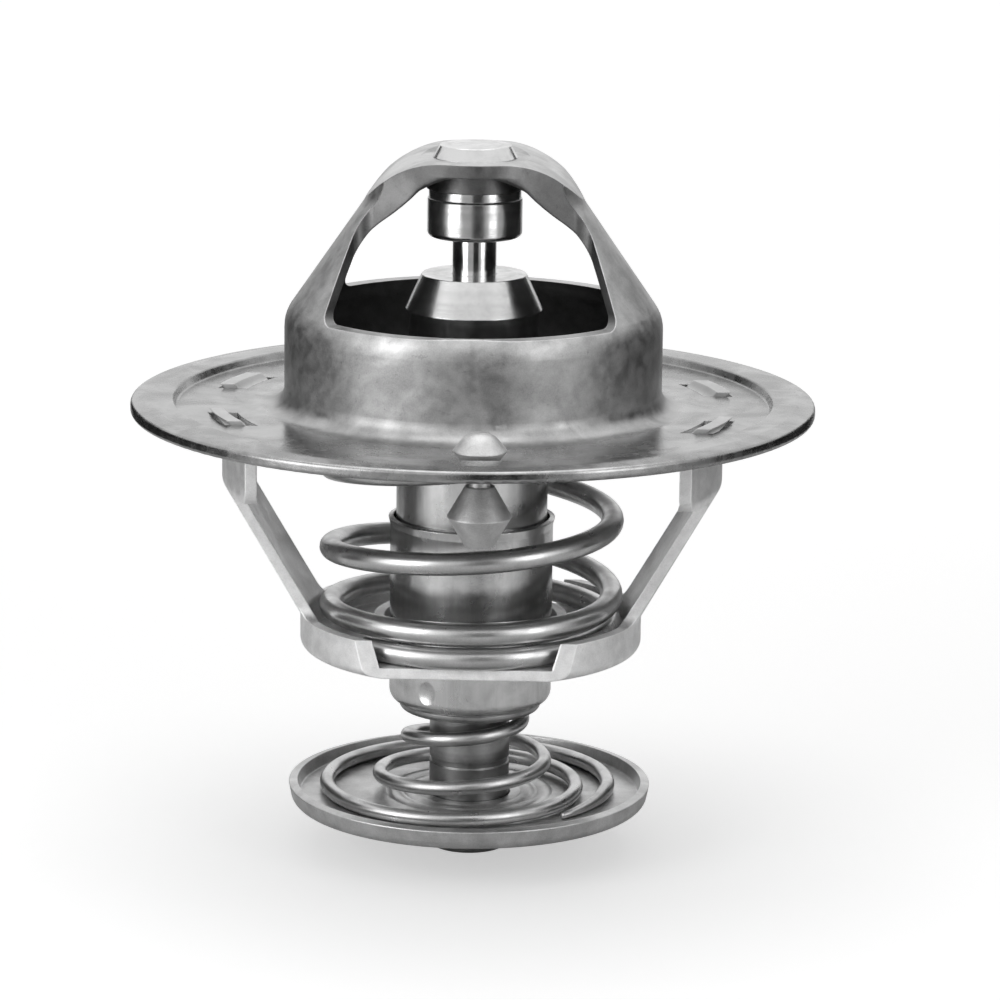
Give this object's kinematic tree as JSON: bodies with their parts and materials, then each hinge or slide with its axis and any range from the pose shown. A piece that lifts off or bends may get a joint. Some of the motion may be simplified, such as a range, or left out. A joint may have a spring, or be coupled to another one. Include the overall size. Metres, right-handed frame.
{
  "type": "engine coolant valve with wax element",
  "caption": "Round flanged coolant valve with a domed bridge, stirrup, return spring, wax element, sprung bypass disc and jiggle pin.",
  "frame": {"origin": "centre of the flange's seat, the underside of its rim", "axes": "+Z along the valve's axis towards the bridge's crown, X through the stirrup's two arms, -Y towards the jiggle pin"},
  "size_m": [0.054, 0.054, 0.0569],
  "materials": {
    "stamped_steel": "matte stamped sheet",
    "drawn_steel": "smooth drawn",
    "turned_steel": "bright turned",
    "polished_steel": "polished",
    "spring_steel": "smooth drawn wire",
    "seal_rubber": "matte black",
    "wax": "solid wax"
  },
  "bodies": {
    "frame": {"flange_bridge": "stamped_steel", "stirrup": "stamped_steel", "piston_bush": "turned_steel", "piston_collar": "turned_steel", "piston": "polished_steel", "main_spring": "spring_steel"},
    "element": {"guide": "turned_steel", "main_valve": "stamped_steel", "valve_seal": "seal_rubber", "wax_cup": "drawn_steel", "end_cap": "drawn_steel", "wax_charge": "wax", "rubber_boot": "seal_rubber", "boot_washer": "turned_steel", "bypass_stem": "turned_steel", "stem_clip": "spring_steel", "bypass_spring": "spring_steel"},
    "bypass": {"bypass_disc": "stamped_steel"},
    "pin": {"jiggle_pin": "turned_steel"}
  },
  "joints": [
    {"name": "element_slide", "type": "slide", "parent": "frame", "child": "element", "axis": [0, 0, -1], "range_m": [0, 0.008], "stiffness_N_per_m": 1500, "springref_m": -0.004, "deforming": ["main_spring"]},
    {"name": "bypass_slide", "type": "slide", "parent": "element", "child": "bypass", "axis": [0, 0, 1], "range_m": [0, 0.005], "stiffness_N_per_m": 300, "springref_m": -0.002, "deforming": ["bypass_spring"]},
    {"name": "pin_lift", "type": "slide", "parent": "frame", "child": "pin", "axis": [0, 0, 1], "range_m": [0, 0.0011]}
  ]
}
